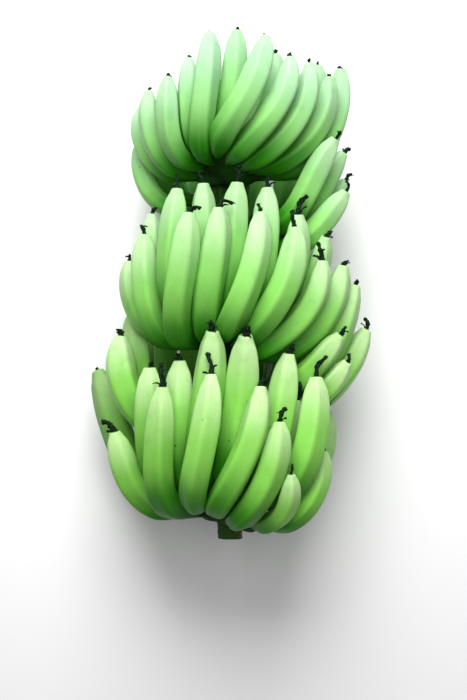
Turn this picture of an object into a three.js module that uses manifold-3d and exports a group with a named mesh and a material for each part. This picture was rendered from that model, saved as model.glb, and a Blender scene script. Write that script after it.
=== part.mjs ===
// A picked bunch of green bananas, lying on its back: one stalk that carries five hands of fingers.
// Millimetres. Y runs along the stalk to its upper end, X is across the bunch and Z is up.
// A direction round the stalk is an azimuth in degrees: 0 faces up (+Z) and 90 faces +X.
import * as THREE from "three";
import { mergeVertices } from "three/addons/utils/BufferGeometryUtils.js";
import Module from "manifold-3d";

// Driving dimensions.
const STALK = { lowEnd: -262, highEnd: 372, lowRadius: 17, highRadius: 27, swell: 2.5, knot: 45, sides: 12 };
const CROWN = { radius: 33, halfDepth: 14, halfHeight: 24, endShare: 0.6, overhang: 9, step: 30, sides: 6 };
const FINGER = { girth: 17.3, span: 185, spanPower: 0.55, variety: 0.04, rootRadius: 38 };
const LIFT = { outer: -9, inner: 16 };
const SHAPE = { rootShare: 0.42, neckFrom: 0.04, neckTo: 0.33, tipFrom: 0.76, tipShare: 0.42 };
const CURVE = { rootPull: 0.48, tipPull: 0.46, sag: -0.05 };
const RIDGES = { count: 5, high: 1.05, low: 0.965 };
const FLOWER_END = { length: 17, bend: 6, radius: 3.2, sunk: 0.985, elbow: 0.6, sides: 3 };
const FLOWER_TAPER = [1, 0.8, 0.45];
const RINGS = [0, 0.17, 0.38, 0.64, 0.87, 1];
const FLOOR = { depth: 138, press: 3.8 };
const GAP = 0.35;
const MERGE = 1e-3;
const SEED = 7.3;
const DRAWS = { perHand: 40, perRow: 20, turns: 400 };

// How the fingers press each other apart. After the last round the tightest still overlap by a few millimetres.
const SETTLE = { rounds: 220, beads: 12, rate: 0.55, gain: 4, rootEnd: 0.3, margin: 0.9 };
const SETTLE_FREE = [0.5, 0.5, 1];

// Evenly spread azimuths.
const fan = (from, to, count) =>
  Array.from({ length: count }, (_, i) => from + ((to - from) * i) / (count - 1));

// Hands from the top of the bunch down. A crown wraps the stalk at its level up to the azimuth "at", and
// climbs by so many millimetres for each degree past it. Each row lists its fingers: the azimuth where a
// finger leaves the crown, the azimuth of its tip, the tip's rise above the level, its distance from the
// stalk, and its flare. A finger is as thick as its length asks for, times its "stout" where the row gives
// it, and its root sits higher on the crown by its "lift" where the row gives it. The withered flower ends
// of a hand with a "stub" are broken off to that share of their length.
const HANDS = [
  {
    name: "hand_1",
    level: 250,
    at: -5,
    climb: 0,
    stub: 0.45,
    outer: {
      from: [-87, -69, -50, -29, -14, -3, 11, 34, 63],
      to: [-83, -62, -40, -12, 22, 38, 53, 72, 82],
      rise: [82, 98, 108, 158, 153, 130, 128, 118, 140],
      reach: [124, 122, 123, 125, 125, 125, 129, 139, 147],
      flare: [-0.1, -0.1, -0.08, -0.06, -0.06, -0.06, -0.04, 0, 0],
      lift: [0, 0, 8, 15, 22, 15, 8, 4, 0],
    },
    inner: {
      from: [-62, -38, -4, 12, 32, 56],
      to: [-52, -32, 6, 36, 64, 78],
      rise: [112, 134, 166, 140, 132, 138],
      reach: [104, 104, 104, 106, 122, 132],
      flare: [-0.05, -0.05, -0.05, -0.05, 0, 0],
    },
  },
  {
    name: "hand_2",
    level: 145,
    at: 75,
    climb: 0.3,
    outer: {
      from: [62, 86, 116, 142, 171, 200, 230, 264],
      to: [70, 92, 120, 146, 172, 200, 229, 262],
      rise: [66, 92, 116, 132, 144, 152, 158, 146],
      reach: [168, 161, 148, 146, 126, 133, 140, 130],
      flare: [0.7, 0.6, 0.2, -0.1, -0.15, -0.15, -0.1, 0],
    },
    inner: {
      from: [54, 76, 104, 129, 157, 186, 216, 249],
      to: [64, 80, 107, 130, 158, 186, 216, 250],
      rise: [140, 128, 162, 172, 180, 188, 184, 180],
      reach: [150, 154, 120, 106, 102, 102, 104, 108],
      flare: [0.7, 0.6, 0.1, 0, -0.05, -0.05, -0.05, 0],
    },
  },
  {
    name: "hand_3",
    level: 17,
    at: -30,
    climb: -0.2,
    outer: {
      from: [-94, -68, -44, -22, -8, 4, 13, 36],
      to: [-85, -60, -21, -6, 17, 38, 60, 70],
      rise: [105, 137, 158, 164, 158, 141, 101, 100],
      reach: [140, 128, 127, 127, 128, 131, 138, 154],
      flare: [-0.05, -0.05, -0.04, -0.04, -0.04, -0.02, 0.1, 0.2],
      stout: [1, 1.08, 1.08, 1.1, 1.04, 1.12, 1.08, 1.1],
      lift: [0, 0, 2, 8, 14, 10, 0, 0],
    },
    inner: {
      from: [-76, -54, -43, -28, 2, 16, 28, 47],
      to: [-64, -44, -37, -23, 7, 28, 48, 66],
      rise: [166, 176, 193, 200, 200, 194, 162, 140],
      reach: [118, 106, 108, 106, 106, 106, 120, 138],
      flare: [-0.03, -0.03, -0.03, -0.03, -0.03, -0.03, 0, 0.1],
    },
  },
  {
    name: "hand_4",
    level: -72,
    at: 70,
    climb: -0.21,
    outer: {
      from: [60, ...fan(84, 258, 7)],
      to: [66, ...fan(90, 234, 6), 262],
      rise: [58, 100, 108, 108, 108, 104, 98, 130],
      reach: [168, 190, 154, 149, 124, 126, 140, 134],
      flare: [0.7, 0.5, 0.1, -0.15, -0.2, -0.2, -0.15, 0],
      stout: [1.1, 1.08, 1, 1, 1, 1, 1, 1.1],
    },
    inner: {
      from: [56, 76, 104, 130, 158, 186, 212, 238, 272],
      to: [64, 80, 106, 130, 158, 186, 212, 238, 281],
      rise: [93, 160, 156, 152, 148, 144, 140, 136, 90],
      reach: [162, 174, 124, 106, 103, 102, 103, 110, 152],
      flare: [0.7, 0.3, 0.1, 0, -0.05, -0.05, -0.05, 0, -0.1],
      stout: [1.08, 1, 1, 1, 1, 1, 1, 1, 1.28],
      lift: [0, 0, 0, 0, 0, 0, 0, 0, -16],
    },
  },
  {
    name: "hand_5",
    level: -212,
    at: -30,
    climb: -0.2,
    outer: {
      from: [-112, -80, -58, -35, -17, 1, 36, 52, 70],
      to: [-104, -70, -37, -11, 17, 27, 43, 59, 72],
      rise: [182, 104, 164, 182, 165, 122, 58, 82, 98],
      reach: [196, 155, 140, 131, 132, 132, 124, 125, 120],
      flare: [0.4, 0.3, 0, -0.02, -0.02, -0.02, 0, 0, 0],
      stout: [1.02, 1.2, 1.04, 1, 1, 1.1, 1, 1.05, 1],
      lift: [0, 0, 0, 14, 11, -2, 0, 0, 0],
    },
    inner: {
      from: [-76, -52, -28, -4, 20, 41, 52, 74],
      to: [-49, -38, -14, 12, 37, 54, 58, 80],
      rise: [186, 196, 246, 241, 217, 174, 150, 130],
      reach: [132, 114, 110, 108, 120, 139, 112, 132],
      flare: [0, 0, 0, 0, 0, 0, 0, 0],
      stout: [1.15, 1.05, 1, 1, 1, 1.08, 1, 1],
    },
  },
];

const COLOURS = {
  peel: { color: 0x86c555, roughness: 0.42, metalness: 0 },
  stalk: { color: 0x6f9a45, roughness: 0.6, metalness: 0 },
};

const radians = (degrees) => (degrees * Math.PI) / 180;

// The point at an azimuth, a distance from the stalk's axis and a height along it.
function around(azimuth, distance, height) {
  const angle = radians(azimuth);
  return new THREE.Vector3(distance * Math.sin(angle), height, distance * Math.cos(angle));
}

// A repeatable draw between -1 and 1 for each whole number.
function draw(index) {
  const value = Math.sin(SEED + index * 12.9898) * 43758.5453;
  return 2 * (value - Math.floor(value)) - 1;
}

// A finger's half width at t along it, as a share of its girth: root, neck, belly and blunt tip.
function girthShare(t) {
  const neck = THREE.MathUtils.smoothstep(t, SHAPE.neckFrom, SHAPE.neckTo);
  const taper = Math.max(0, (t - SHAPE.tipFrom) / (1 - SHAPE.tipFrom));
  const tip = Math.sqrt(1 - (1 - SHAPE.tipShare ** 2) * taper ** 2);
  return (SHAPE.rootShare + (1 - SHAPE.rootShare) * neck) * tip;
}

// The height of a hand's crown at an azimuth.
const crownHeight = (hand, azimuth) => hand.level + hand.climb * Math.max(0, azimuth - hand.at);

// A finger leaves the crown outwards and bends up to its tip, as one Bezier curve.
function growFinger(hand, row, lift, index, serial) {
  const height = crownHeight(hand, row.from[index]) + lift + (row.lift?.[index] ?? 0);
  const root = around(row.from[index], FINGER.rootRadius, height);
  const tip = around(row.to[index], row.reach[index], hand.level + row.rise[index]);
  const span = root.distanceTo(tip);
  const outward = around(row.from[index], 1, CURVE.sag).normalize();
  const heading = around(row.to[index], row.flare[index], 1).normalize();
  const belly = root.clone().addScaledVector(outward, CURVE.rootPull * span);
  const shoulder = tip.clone().addScaledVector(heading, -CURVE.tipPull * span);
  const curve = new THREE.CubicBezierCurve3(root, belly, shoulder, tip);
  const stout = (row.stout?.[index] ?? 1) * (1 + FINGER.variety * draw(serial));
  const girth = FINGER.girth * (span / FINGER.span) ** FINGER.spanPower * stout;
  return { curve, girth, turn: (180 / RIDGES.count) * draw(serial + DRAWS.turns) };
}

// The curve's four weights at t, which say how much each control point moves the curve there.
const weightsAt = (t) => [(1 - t) ** 3, 3 * t * (1 - t) ** 2, 3 * t * t * (1 - t), t ** 3];

// Pushes fingers apart, off the stalk and off the floor. Each finger is a string of beads, and every push on a
// bead moves the curve's three free control points by its weights, so the finger stays one smooth arc.
function settle(fingers) {
  const count = SETTLE.beads;
  const places = Array.from({ length: count }, (_, i) => i / (count - 1));
  const weights = places.map(weightsAt);
  const radii = fingers.map(({ girth }) => places.map((t) => girth * girthShare(t) + SETTLE.margin));
  for (let round = 0; round < SETTLE.rounds; round++) {
    const beads = fingers.map(({ curve }) => places.map((t) => curve.getPoint(t).toArray()));
    const pushes = beads.map((string) => string.map(() => [0, 0, 0]));
    fingers.forEach((a, i) => {
      for (let j = i + 1; j < fingers.length; j++)
        pressApart(beads[i], beads[j], radii[i], radii[j], pushes[i], pushes[j], a.hand === fingers[j].hand);
    });
    fingers.forEach(({ curve }, i) => {
      beads[i].forEach((bead, k) => pressOut(bead, radii[i][k], pushes[i][k], places[k]));
      [curve.v1, curve.v2, curve.v3].forEach((point, c) => {
        const moved = [0, 1, 2].map((axis) =>
          pushes[i].reduce((sum, push, k) => sum + push[axis] * weights[k][c + 1], 0),
        );
        const step = moved.map((value, axis) => value * SETTLE.rate * SETTLE_FREE[axis] * SETTLE.gain);
        point.add(new THREE.Vector3(...step.map((value) => value / count)));
      });
    });
  }
}

// Two strings of beads push each other apart by half of each overlap. Roots of one hand may merge in its crown.
function pressApart(beadsA, beadsB, radiiA, radiiB, pushA, pushB, sameHand) {
  const first = sameHand ? Math.ceil(SETTLE.rootEnd * (beadsA.length - 1)) : 0;
  for (let k = first; k < beadsA.length; k++)
    for (let m = first; m < beadsB.length; m++) {
      const dx = beadsA[k][0] - beadsB[m][0];
      const dy = beadsA[k][1] - beadsB[m][1];
      const dz = beadsA[k][2] - beadsB[m][2];
      const reach = radiiA[k] + radiiB[m];
      const square = dx * dx + dy * dy + dz * dz;
      if (square >= reach * reach) continue;
      const distance = Math.sqrt(square);
      const half = (reach - distance) / (2 * distance);
      [dx, dy, dz].forEach((part, axis) => {
        pushA[k][axis] += part * half;
        pushB[m][axis] -= part * half;
      });
    }
}

// Keeps a bead above the floor, and clear of the stalk once the finger has left its root.
function pressOut(bead, radius, push, t) {
  push[2] += Math.max(0, radius - FLOOR.depth - bead[2]);
  const distance = Math.hypot(bead[0], bead[2]);
  const inside = STALK.highRadius + radius - distance;
  if (t < SETTLE.rootEnd || inside <= 0) return;
  push[0] += (bead[0] / distance) * inside;
  push[2] += (bead[2] / distance) * inside;
}

// A closed skin over rings of points, each ring with the same number of points, fanned shut at both ends.
function skin(rings) {
  const sides = rings[0].length;
  const centre = (ring) => ring.reduce((sum, p) => sum.add(p), new THREE.Vector3()).divideScalar(sides);
  const points = [...rings.flat(), centre(rings[0]), centre(rings.at(-1))];
  const [first, last] = [points.length - 2, points.length - 1];
  const top = (rings.length - 1) * sides;
  const faces = [];
  for (let s = 0; s < sides; s++) {
    const next = (s + 1) % sides;
    for (let r = 0; r < top; r += sides)
      faces.push(r + s, r + next, r + sides + next, r + s, r + sides + next, r + sides + s);
    faces.push(first, next, s, last, top + s, top + next);
  }
  return new THREE.BufferGeometry().setFromPoints(points).setIndex(faces);
}

// One ring of points round a curve, the first of them towards "out". "radiusOf" gives each point's radius.
function ringAt(curve, t, out, sides, radiusOf) {
  const centre = curve.getPoint(t);
  const along = curve.getTangent(t);
  const side = out.clone().addScaledVector(along, -out.dot(along)).normalize();
  const across = new THREE.Vector3().crossVectors(along, side);
  return Array.from({ length: sides }, (_, s) => {
    const angle = (2 * Math.PI * s) / sides;
    const spoke = side.clone().multiplyScalar(Math.cos(angle)).addScaledVector(across, Math.sin(angle));
    return centre.clone().addScaledVector(spoke, radiusOf(s));
  });
}

// The direction in which a curve bulges.
function bulge(curve) {
  const chord = curve.getPoint(0).add(curve.getPoint(1)).multiplyScalar(0.5);
  return curve.getPoint(0.5).sub(chord).normalize();
}

// A finger with five blunt ridges along it. "grow" makes it thicker by that much all round.
function fingerSkin({ curve, girth, turn }, grow) {
  const out = bulge(curve).applyAxisAngle(curve.getTangent(0.5), radians(turn));
  const ridged = (t) => (s) => girth * girthShare(t) * (s % 2 ? RIDGES.low : RIDGES.high) + grow;
  return skin(RINGS.map((t) => ringAt(curve, t, out, 2 * RIDGES.count, ridged(t))));
}

// The withered flower that stays on a finger's tip: a short curled stub, sunk into the tip.
function flowerEndSkin({ curve, turn, hand }, grow) {
  const share = HANDS[hand].stub ?? 1;
  const length = FLOWER_END.length * share;
  const start = curve.getPoint(FLOWER_END.sunk);
  const ahead = curve.getTangent(1);
  const aside = bulge(curve).applyAxisAngle(ahead, radians(RIDGES.count * turn));
  const middle = start.clone().addScaledVector(ahead, length * FLOWER_END.elbow);
  const end = start.clone().addScaledVector(ahead, length).addScaledVector(aside, FLOWER_END.bend * share);
  const stub = new THREE.QuadraticBezierCurve3(start, middle, end);
  const radii = FLOWER_TAPER.map((taper) => FLOWER_END.radius * taper + grow);
  return skin(radii.map((radius, i) => ringAt(stub, i / 2, aside, FLOWER_END.sides, () => radius)));
}

// The fleshy crown that joins a hand's fingers and wraps part of the stalk.
function crownSkin(hand, grow) {
  const azimuths = [...hand.outer.from, ...hand.inner.from];
  const [from, to] = [Math.min(...azimuths) - CROWN.overhang, Math.max(...azimuths) + CROWN.overhang];
  const steps = Math.ceil((to - from) / CROWN.step);
  const rings = Array.from({ length: steps + 1 }, (_, i) => {
    const azimuth = from + ((to - from) * i) / steps;
    const height = crownHeight(hand, azimuth);
    const share = i === 0 || i === steps ? CROWN.endShare : 1;
    return Array.from({ length: CROWN.sides }, (_, s) => {
      const angle = (2 * Math.PI * (s + 0.5)) / CROWN.sides;
      const depth = (CROWN.halfDepth * share + grow) * Math.cos(angle);
      const climb = (CROWN.halfHeight * share + grow) * Math.sin(angle);
      return around(azimuth, CROWN.radius + depth, height + climb);
    });
  });
  return skin(rings.reverse());
}

// The stalk: a round, tapering stem with a slight swelling at each hand, turned about its axis.
function stalkGeometry(grow) {
  const { lowEnd, highEnd, lowRadius, highRadius, swell, knot, sides } = STALK;
  const stations = [lowEnd, ...HANDS.flatMap(({ level }) => [level - knot, level, level + knot]), highEnd];
  const profile = [...new Set(stations)]
    .sort((a, b) => a - b)
    .map((y) => {
      const taper = THREE.MathUtils.mapLinear(y, lowEnd, highEnd, lowRadius, highRadius);
      const swelling = HANDS.some(({ level }) => level === y) ? swell : 0;
      return new THREE.Vector2(taper + swelling + grow, y);
    });
  const low = new THREE.Vector2(0, lowEnd - grow);
  const high = new THREE.Vector2(0, highEnd + grow);
  return new THREE.LatheGeometry([low, ...profile, high], sides);
}

const wasm = await Module();
wasm.setup();

function toSolid(geometry) {
  const bare = geometry.clone().deleteAttribute("normal").deleteAttribute("uv");
  const merged = mergeVertices(bare, MERGE);
  const vertProperties = merged.attributes.position.array;
  return new wasm.Manifold(
    new wasm.Mesh({ numProp: 3, vertProperties, triVerts: new Uint32Array(merged.index.array) }),
  );
}

function toMesh(name, solid, look) {
  const { vertProperties, triVerts } = solid.getMesh();
  const geometry = new THREE.BufferGeometry();
  geometry.setAttribute("position", new THREE.BufferAttribute(vertProperties, 3));
  geometry.setIndex(new THREE.BufferAttribute(triVerts, 1));
  geometry.computeVertexNormals();
  const mesh = new THREE.Mesh(geometry, new THREE.MeshStandardMaterial({ ...look, flatShading: true }));
  mesh.name = name;
  return mesh;
}

// All fingers of the bunch, each knowing its hand, settled against each other.
function growBunch() {
  const fingers = HANDS.flatMap((hand, h) =>
    [
      [hand.outer, LIFT.outer],
      [hand.inner, LIFT.inner],
    ].flatMap(([row, lift], r) =>
      row.from.map((_, i) => {
        const serial = DRAWS.perHand * h + DRAWS.perRow * r + i;
        return { ...growFinger(hand, row, lift, i, serial), hand: h };
      }),
    ),
  );
  settle(fingers);
  return fingers;
}

// One hand as one solid: its fingers, their flower ends and the crown.
function handSolid(fingers, h, grow) {
  const own = fingers.filter(({ hand }) => hand === h);
  const skins = [
    ...own.map((finger) => fingerSkin(finger, grow)),
    ...own.map((finger) => flowerEndSkin(finger, grow)),
    crownSkin(HANDS[h], grow),
  ];
  return wasm.Manifold.union(skins.map(toSolid));
}

// Cuts each hand clear of the stalk and of the hands above it, flattens what bears on the floor, and keeps the
// largest body that is left, without loose scraps.
function clearHands(fingers) {
  const kept = [toSolid(stalkGeometry(GAP))];
  return HANDS.map(({ name }, h) => {
    const whole = kept.reduce((solid, other) => solid.subtract(other), handSolid(fingers, h, 0));
    const resting = whole.trimByPlane([0, 0, 1], FLOOR.press - FLOOR.depth);
    const [body] = resting.decompose().sort((a, b) => b.volume() - a.volume());
    kept.push(handSolid(fingers, h, GAP));
    return toMesh(name, body, COLOURS.peel);
  });
}

const bunch = new THREE.Group();
bunch.add(toMesh("stalk", toSolid(stalkGeometry(0)), COLOURS.stalk));
bunch.add(...clearHands(growBunch()));

// The origin is on the floor, under the middle of the bunch.
const extent = new THREE.Box3().setFromObject(bunch);
const middle = extent.getCenter(new THREE.Vector3());
bunch.children.forEach((mesh) => mesh.position.set(-middle.x, -middle.y, -extent.min.z));

export default bunch;
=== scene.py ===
"""A picked bunch of green bananas lying on its back: fruit, crowns, withered flower ends and stalk."""

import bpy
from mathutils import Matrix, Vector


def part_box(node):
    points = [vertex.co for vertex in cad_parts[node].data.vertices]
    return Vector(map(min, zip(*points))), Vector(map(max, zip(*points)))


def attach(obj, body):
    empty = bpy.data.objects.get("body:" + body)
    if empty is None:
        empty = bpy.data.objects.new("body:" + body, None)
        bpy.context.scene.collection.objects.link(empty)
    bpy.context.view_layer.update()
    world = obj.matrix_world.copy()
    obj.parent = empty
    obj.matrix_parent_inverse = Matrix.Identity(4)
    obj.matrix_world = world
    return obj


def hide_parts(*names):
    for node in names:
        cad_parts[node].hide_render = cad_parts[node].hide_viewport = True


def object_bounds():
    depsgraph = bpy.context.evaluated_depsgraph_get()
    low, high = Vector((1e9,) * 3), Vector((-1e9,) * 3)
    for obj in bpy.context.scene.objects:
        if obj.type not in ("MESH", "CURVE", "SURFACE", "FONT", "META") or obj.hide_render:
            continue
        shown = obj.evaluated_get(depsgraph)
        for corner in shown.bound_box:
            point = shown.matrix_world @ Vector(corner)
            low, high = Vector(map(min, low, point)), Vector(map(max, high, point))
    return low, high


bl_info = {
    "name": "Green banana bunch",
    "version": (1, 0, 0),
    "blender": (4, 5, 0),
    "location": "View3D > Sidebar > Banana bunch",
    "description": "Builds a bunch of green bananas with its crowns, flower ends and stalk",
    "category": "Add Mesh",
}

from functools import lru_cache

import bpy
import numpy as np
from bpy.props import FloatProperty, FloatVectorProperty, IntProperty, PointerProperty
from bpy.types import Operator, Panel, PropertyGroup

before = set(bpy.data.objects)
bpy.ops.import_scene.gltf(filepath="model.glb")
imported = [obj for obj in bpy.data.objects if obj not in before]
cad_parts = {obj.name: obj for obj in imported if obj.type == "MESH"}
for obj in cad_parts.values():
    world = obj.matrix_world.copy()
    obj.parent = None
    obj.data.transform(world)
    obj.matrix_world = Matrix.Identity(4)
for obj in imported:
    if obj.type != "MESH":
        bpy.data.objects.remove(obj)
CAD_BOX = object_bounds()
STALK_LOW, STALK_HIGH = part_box("stalk")
BODY = "root"
MM = 0.001

# The bunch's driving dimensions, in millimetres and degrees, on axes whose Y is the middle of the stalk.
STALK = {"low_end": -262, "high_end": 372, "low_radius": 17, "high_radius": 27, "swell": 2.5, "knot": 45}
CROWN = {"radius": 33, "half_depth": 14, "half_height": 24, "overhang": 9, "end_share": 0.25, "end_power": 8}
FINGER = {"girth": 17.3, "span": 185, "span_power": 0.55, "variety": 0.04}
ROOT = {"radius": 38, "outer_lift": -9, "inner_lift": 16}
SHAPE = {"root_share": 0.42, "neck_from": 0.04, "neck_to": 0.33, "tip_from": 0.76, "tip_share": 0.42}
CURVE = {"root_pull": 0.48, "tip_pull": 0.46, "sag": -0.05}
RIDGES = 5
FLOOR_DEPTH = 138

# How the fingers press each other apart, as strings of beads. Each free control point takes a share of a
# push, and the pairs of beads that may touch are looked for again every few rounds.
SETTLE = {"rounds": 220, "beads": 12, "rate": 0.55, "gain": 4, "root_end": 0.3, "margin": 0.9}
SETTLE_FREE = np.array([0.5, 0.5, 1.0])
NEAR = {"slack": 12, "rounds": 10}

# The numbers behind the repeatable draws, the steps of the fingers' serial numbers, and where each kind of
# draw on a finger starts among whole numbers.
RANDOM = {"seed": 7.3, "step": 12.9898, "size": 43758.5453}
SERIAL = {"hand": 40, "row": 20}
DRAWS = {"turn": 400, "face_turn": 900, "face_depth": 1700, "wave": 2100, "tone": 3100}


def fan(first, last, count):
    """Evenly spaced values from first to last, as a list."""
    return list(np.linspace(first, last, count))


# Hands from the top of the bunch down. A crown wraps the stalk at its level up to the azimuth "at", and
# climbs by so many millimetres for each degree past it. An azimuth of 0 faces up and 90 faces +X. Each row
# lists its fingers: the azimuth of the root, the azimuth of the tip, the tip's rise, its distance from the
# stalk, and its flare. A finger is as thick as its length asks for, times its "stout" where the row gives it,
# and its root sits higher on the crown by its "lift" where the row gives it. The flower ends of a hand with a
# "stub" are broken off to that share of their length.
HANDS = [
    {
        "node": "hand_1",
        "level": 250,
        "at": -5,
        "climb": 0.0,
        "stub": 0.45,
        "outer": {
            "root": [-87, -69, -50, -29, -14, -3, 11, 34, 63],
            "tip": [-83, -62, -40, -12, 22, 38, 53, 72, 82],
            "rise": [82, 98, 108, 158, 153, 130, 128, 118, 140],
            "reach": [124, 122, 123, 125, 125, 125, 129, 139, 147],
            "flare": [-0.1, -0.1, -0.08, -0.06, -0.06, -0.06, -0.04, 0, 0],
            "lift": [0, 0, 8, 15, 22, 15, 8, 4, 0],
        },
        "inner": {
            "root": [-62, -38, -4, 12, 32, 56],
            "tip": [-52, -32, 6, 36, 64, 78],
            "rise": [112, 134, 166, 140, 132, 138],
            "reach": [104, 104, 104, 106, 122, 132],
            "flare": [-0.05, -0.05, -0.05, -0.05, 0, 0],
        },
    },
    {
        "node": "hand_2",
        "level": 145,
        "at": 75,
        "climb": 0.3,
        "outer": {
            "root": [62, 86, 116, 142, 171, 200, 230, 264],
            "tip": [70, 92, 120, 146, 172, 200, 229, 262],
            "rise": [66, 92, 116, 132, 144, 152, 158, 146],
            "reach": [168, 161, 148, 146, 126, 133, 140, 130],
            "flare": [0.7, 0.6, 0.2, -0.1, -0.15, -0.15, -0.1, 0],
        },
        "inner": {
            "root": [54, 76, 104, 129, 157, 186, 216, 249],
            "tip": [64, 80, 107, 130, 158, 186, 216, 250],
            "rise": [140, 128, 162, 172, 180, 188, 184, 180],
            "reach": [150, 154, 120, 106, 102, 102, 104, 108],
            "flare": [0.7, 0.6, 0.1, 0, -0.05, -0.05, -0.05, 0],
        },
    },
    {
        "node": "hand_3",
        "level": 17,
        "at": -30,
        "climb": -0.2,
        "outer": {
            "root": [-94, -68, -44, -22, -8, 4, 13, 36],
            "tip": [-85, -60, -21, -6, 17, 38, 60, 70],
            "rise": [105, 137, 158, 164, 158, 141, 101, 100],
            "reach": [140, 128, 127, 127, 128, 131, 138, 154],
            "flare": [-0.05, -0.05, -0.04, -0.04, -0.04, -0.02, 0.1, 0.2],
            "stout": [1, 1.08, 1.08, 1.1, 1.04, 1.12, 1.08, 1.1],
            "lift": [0, 0, 2, 8, 14, 10, 0, 0],
        },
        "inner": {
            "root": [-76, -54, -43, -28, 2, 16, 28, 47],
            "tip": [-64, -44, -37, -23, 7, 28, 48, 66],
            "rise": [166, 176, 193, 200, 200, 194, 162, 140],
            "reach": [118, 106, 108, 106, 106, 106, 120, 138],
            "flare": [-0.03, -0.03, -0.03, -0.03, -0.03, -0.03, 0, 0.1],
        },
    },
    {
        "node": "hand_4",
        "level": -72,
        "at": 70,
        "climb": -0.21,
        "outer": {
            "root": [60, *fan(84, 258, 7)],
            "tip": [66, *fan(90, 234, 6), 262],
            "rise": [58, 100, 108, 108, 108, 104, 98, 130],
            "reach": [168, 190, 154, 149, 124, 126, 140, 134],
            "flare": [0.7, 0.5, 0.1, -0.15, -0.2, -0.2, -0.15, 0],
            "stout": [1.1, 1.08, 1, 1, 1, 1, 1, 1.1],
        },
        "inner": {
            "root": [56, 76, 104, 130, 158, 186, 212, 238, 272],
            "tip": [64, 80, 106, 130, 158, 186, 212, 238, 281],
            "rise": [93, 160, 156, 152, 148, 144, 140, 136, 90],
            "reach": [162, 174, 124, 106, 103, 102, 103, 110, 152],
            "flare": [0.7, 0.3, 0.1, 0, -0.05, -0.05, -0.05, 0, -0.1],
            "stout": [1.08, 1, 1, 1, 1, 1, 1, 1, 1.28],
            "lift": [0, 0, 0, 0, 0, 0, 0, 0, -16],
        },
    },
    {
        "node": "hand_5",
        "level": -212,
        "at": -30,
        "climb": -0.2,
        "outer": {
            "root": [-112, -80, -58, -35, -17, 1, 36, 52, 70],
            "tip": [-104, -70, -37, -11, 17, 27, 43, 59, 72],
            "rise": [182, 104, 164, 182, 165, 122, 58, 82, 98],
            "reach": [196, 155, 140, 131, 132, 132, 124, 125, 120],
            "flare": [0.4, 0.3, 0, -0.02, -0.02, -0.02, 0, 0, 0],
            "stout": [1.02, 1.2, 1.04, 1, 1, 1.1, 1, 1.05, 1],
            "lift": [0, 0, 0, 14, 11, -2, 0, 0, 0],
        },
        "inner": {
            "root": [-76, -52, -28, -4, 20, 41, 52, 74],
            "tip": [-49, -38, -14, 12, 37, 54, 58, 80],
            "rise": [186, 196, 246, 241, 217, 174, 150, 130],
            "reach": [132, 114, 110, 108, 120, 139, 112, 132],
            "flare": [0, 0, 0, 0, 0, 0, 0, 0],
            "stout": [1.15, 1.05, 1, 1, 1, 1.08, 1, 1],
        },
    },
]

# The camera looks straight down from where the photograph was taken, on the same axes as the hands.
CAMERA = {"x": 4.9, "y": 0.0, "height": 1600.0, "focal_px": 1146.0, "frame_px": 700.0, "sensor": 36.0}


# Numbers and curves.


def draw(index):
    """A repeatable draw between -1 and 1 for each whole number: the fraction left by a large sine."""
    value = np.sin(RANDOM["seed"] + np.asarray(index, float) * RANDOM["step"]) * RANDOM["size"]
    return 2 * (value - np.floor(value)) - 1


def smoothstep(values, low, high):
    """0 below low, 1 above high, and the cubic 3x^2 - 2x^3 between them."""
    x = np.clip((values - low) / (high - low), 0, 1)
    return x * x * (3 - 2 * x)


def bell(values, middle, width):
    """A bell curve of height 1."""
    return np.exp(-(((values - middle) / width) ** 2))


def polynomial(factors, values):
    """A polynomial from its factors, the constant first."""
    return sum(factor * values**power for power, factor in enumerate(factors))


def unit(vectors):
    """Vectors of length 1 along the last axis."""
    return vectors / np.linalg.norm(vectors, axis=-1, keepdims=True)


def square_to(along, vectors):
    """The unit vectors that are left of vectors once their parts along unit directions are taken off."""
    return unit(vectors - along * np.sum(vectors * along, axis=-1, keepdims=True))


def ring_angles(sides):
    """The angles of a ring's points, in radians."""
    return 2 * np.pi * np.arange(sides) / sides


def spokes(side, across, angles):
    """Unit vectors from each point of some curves out to the points of its ring: cosine of the angle times
    one direction, plus sine times the other."""
    return side[:, :, None, :] * np.cos(angles)[:, None] + across[:, :, None, :] * np.sin(angles)[:, None]


def around(azimuth, distance, height):
    """Points at an azimuth in degrees and a distance from the stalk's axis, at a height along it."""
    angle = np.radians(azimuth)
    parts = np.broadcast_arrays(distance * np.sin(angle), height, distance * np.cos(angle))
    return np.stack(parts, axis=-1)


def weights_at(t):
    """The four cubic Bernstein weights at each t."""
    s = 1 - t
    return np.stack([s**3, 3 * t * s**2, 3 * t**2 * s, t**3], axis=-1)


def points_at(control, t):
    """Points of the Bezier curves with those control points: curves by places by 3."""
    return np.einsum("mk,nkj->nmj", weights_at(t), control)


def tangents_at(control, t):
    """Unit tangents of the Bezier curves, from the quadratic weights on the legs between control points."""
    s = 1 - t
    weights = np.stack([s**2, 2 * t * s, t**2], axis=-1)
    return unit(np.einsum("mk,nkj->nmj", weights, np.diff(control, axis=1)))


def girth_share(t):
    """A finger's half width as a share of its girth: slim root, belly and an elliptic taper to the tip."""
    neck = smoothstep(t, SHAPE["neck_from"], SHAPE["neck_to"])
    taper = np.clip((t - SHAPE["tip_from"]) / (1 - SHAPE["tip_from"]), 0, 1)
    tip = np.sqrt(1 - (1 - SHAPE["tip_share"] ** 2) * taper**2)
    return (SHAPE["root_share"] + (1 - SHAPE["root_share"]) * neck) * tip


def crown_height(hand, azimuth):
    """The height of a hand's crown at an azimuth."""
    return hand["level"] + hand["climb"] * np.maximum(0, np.asarray(azimuth, float) - hand["at"])


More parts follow.
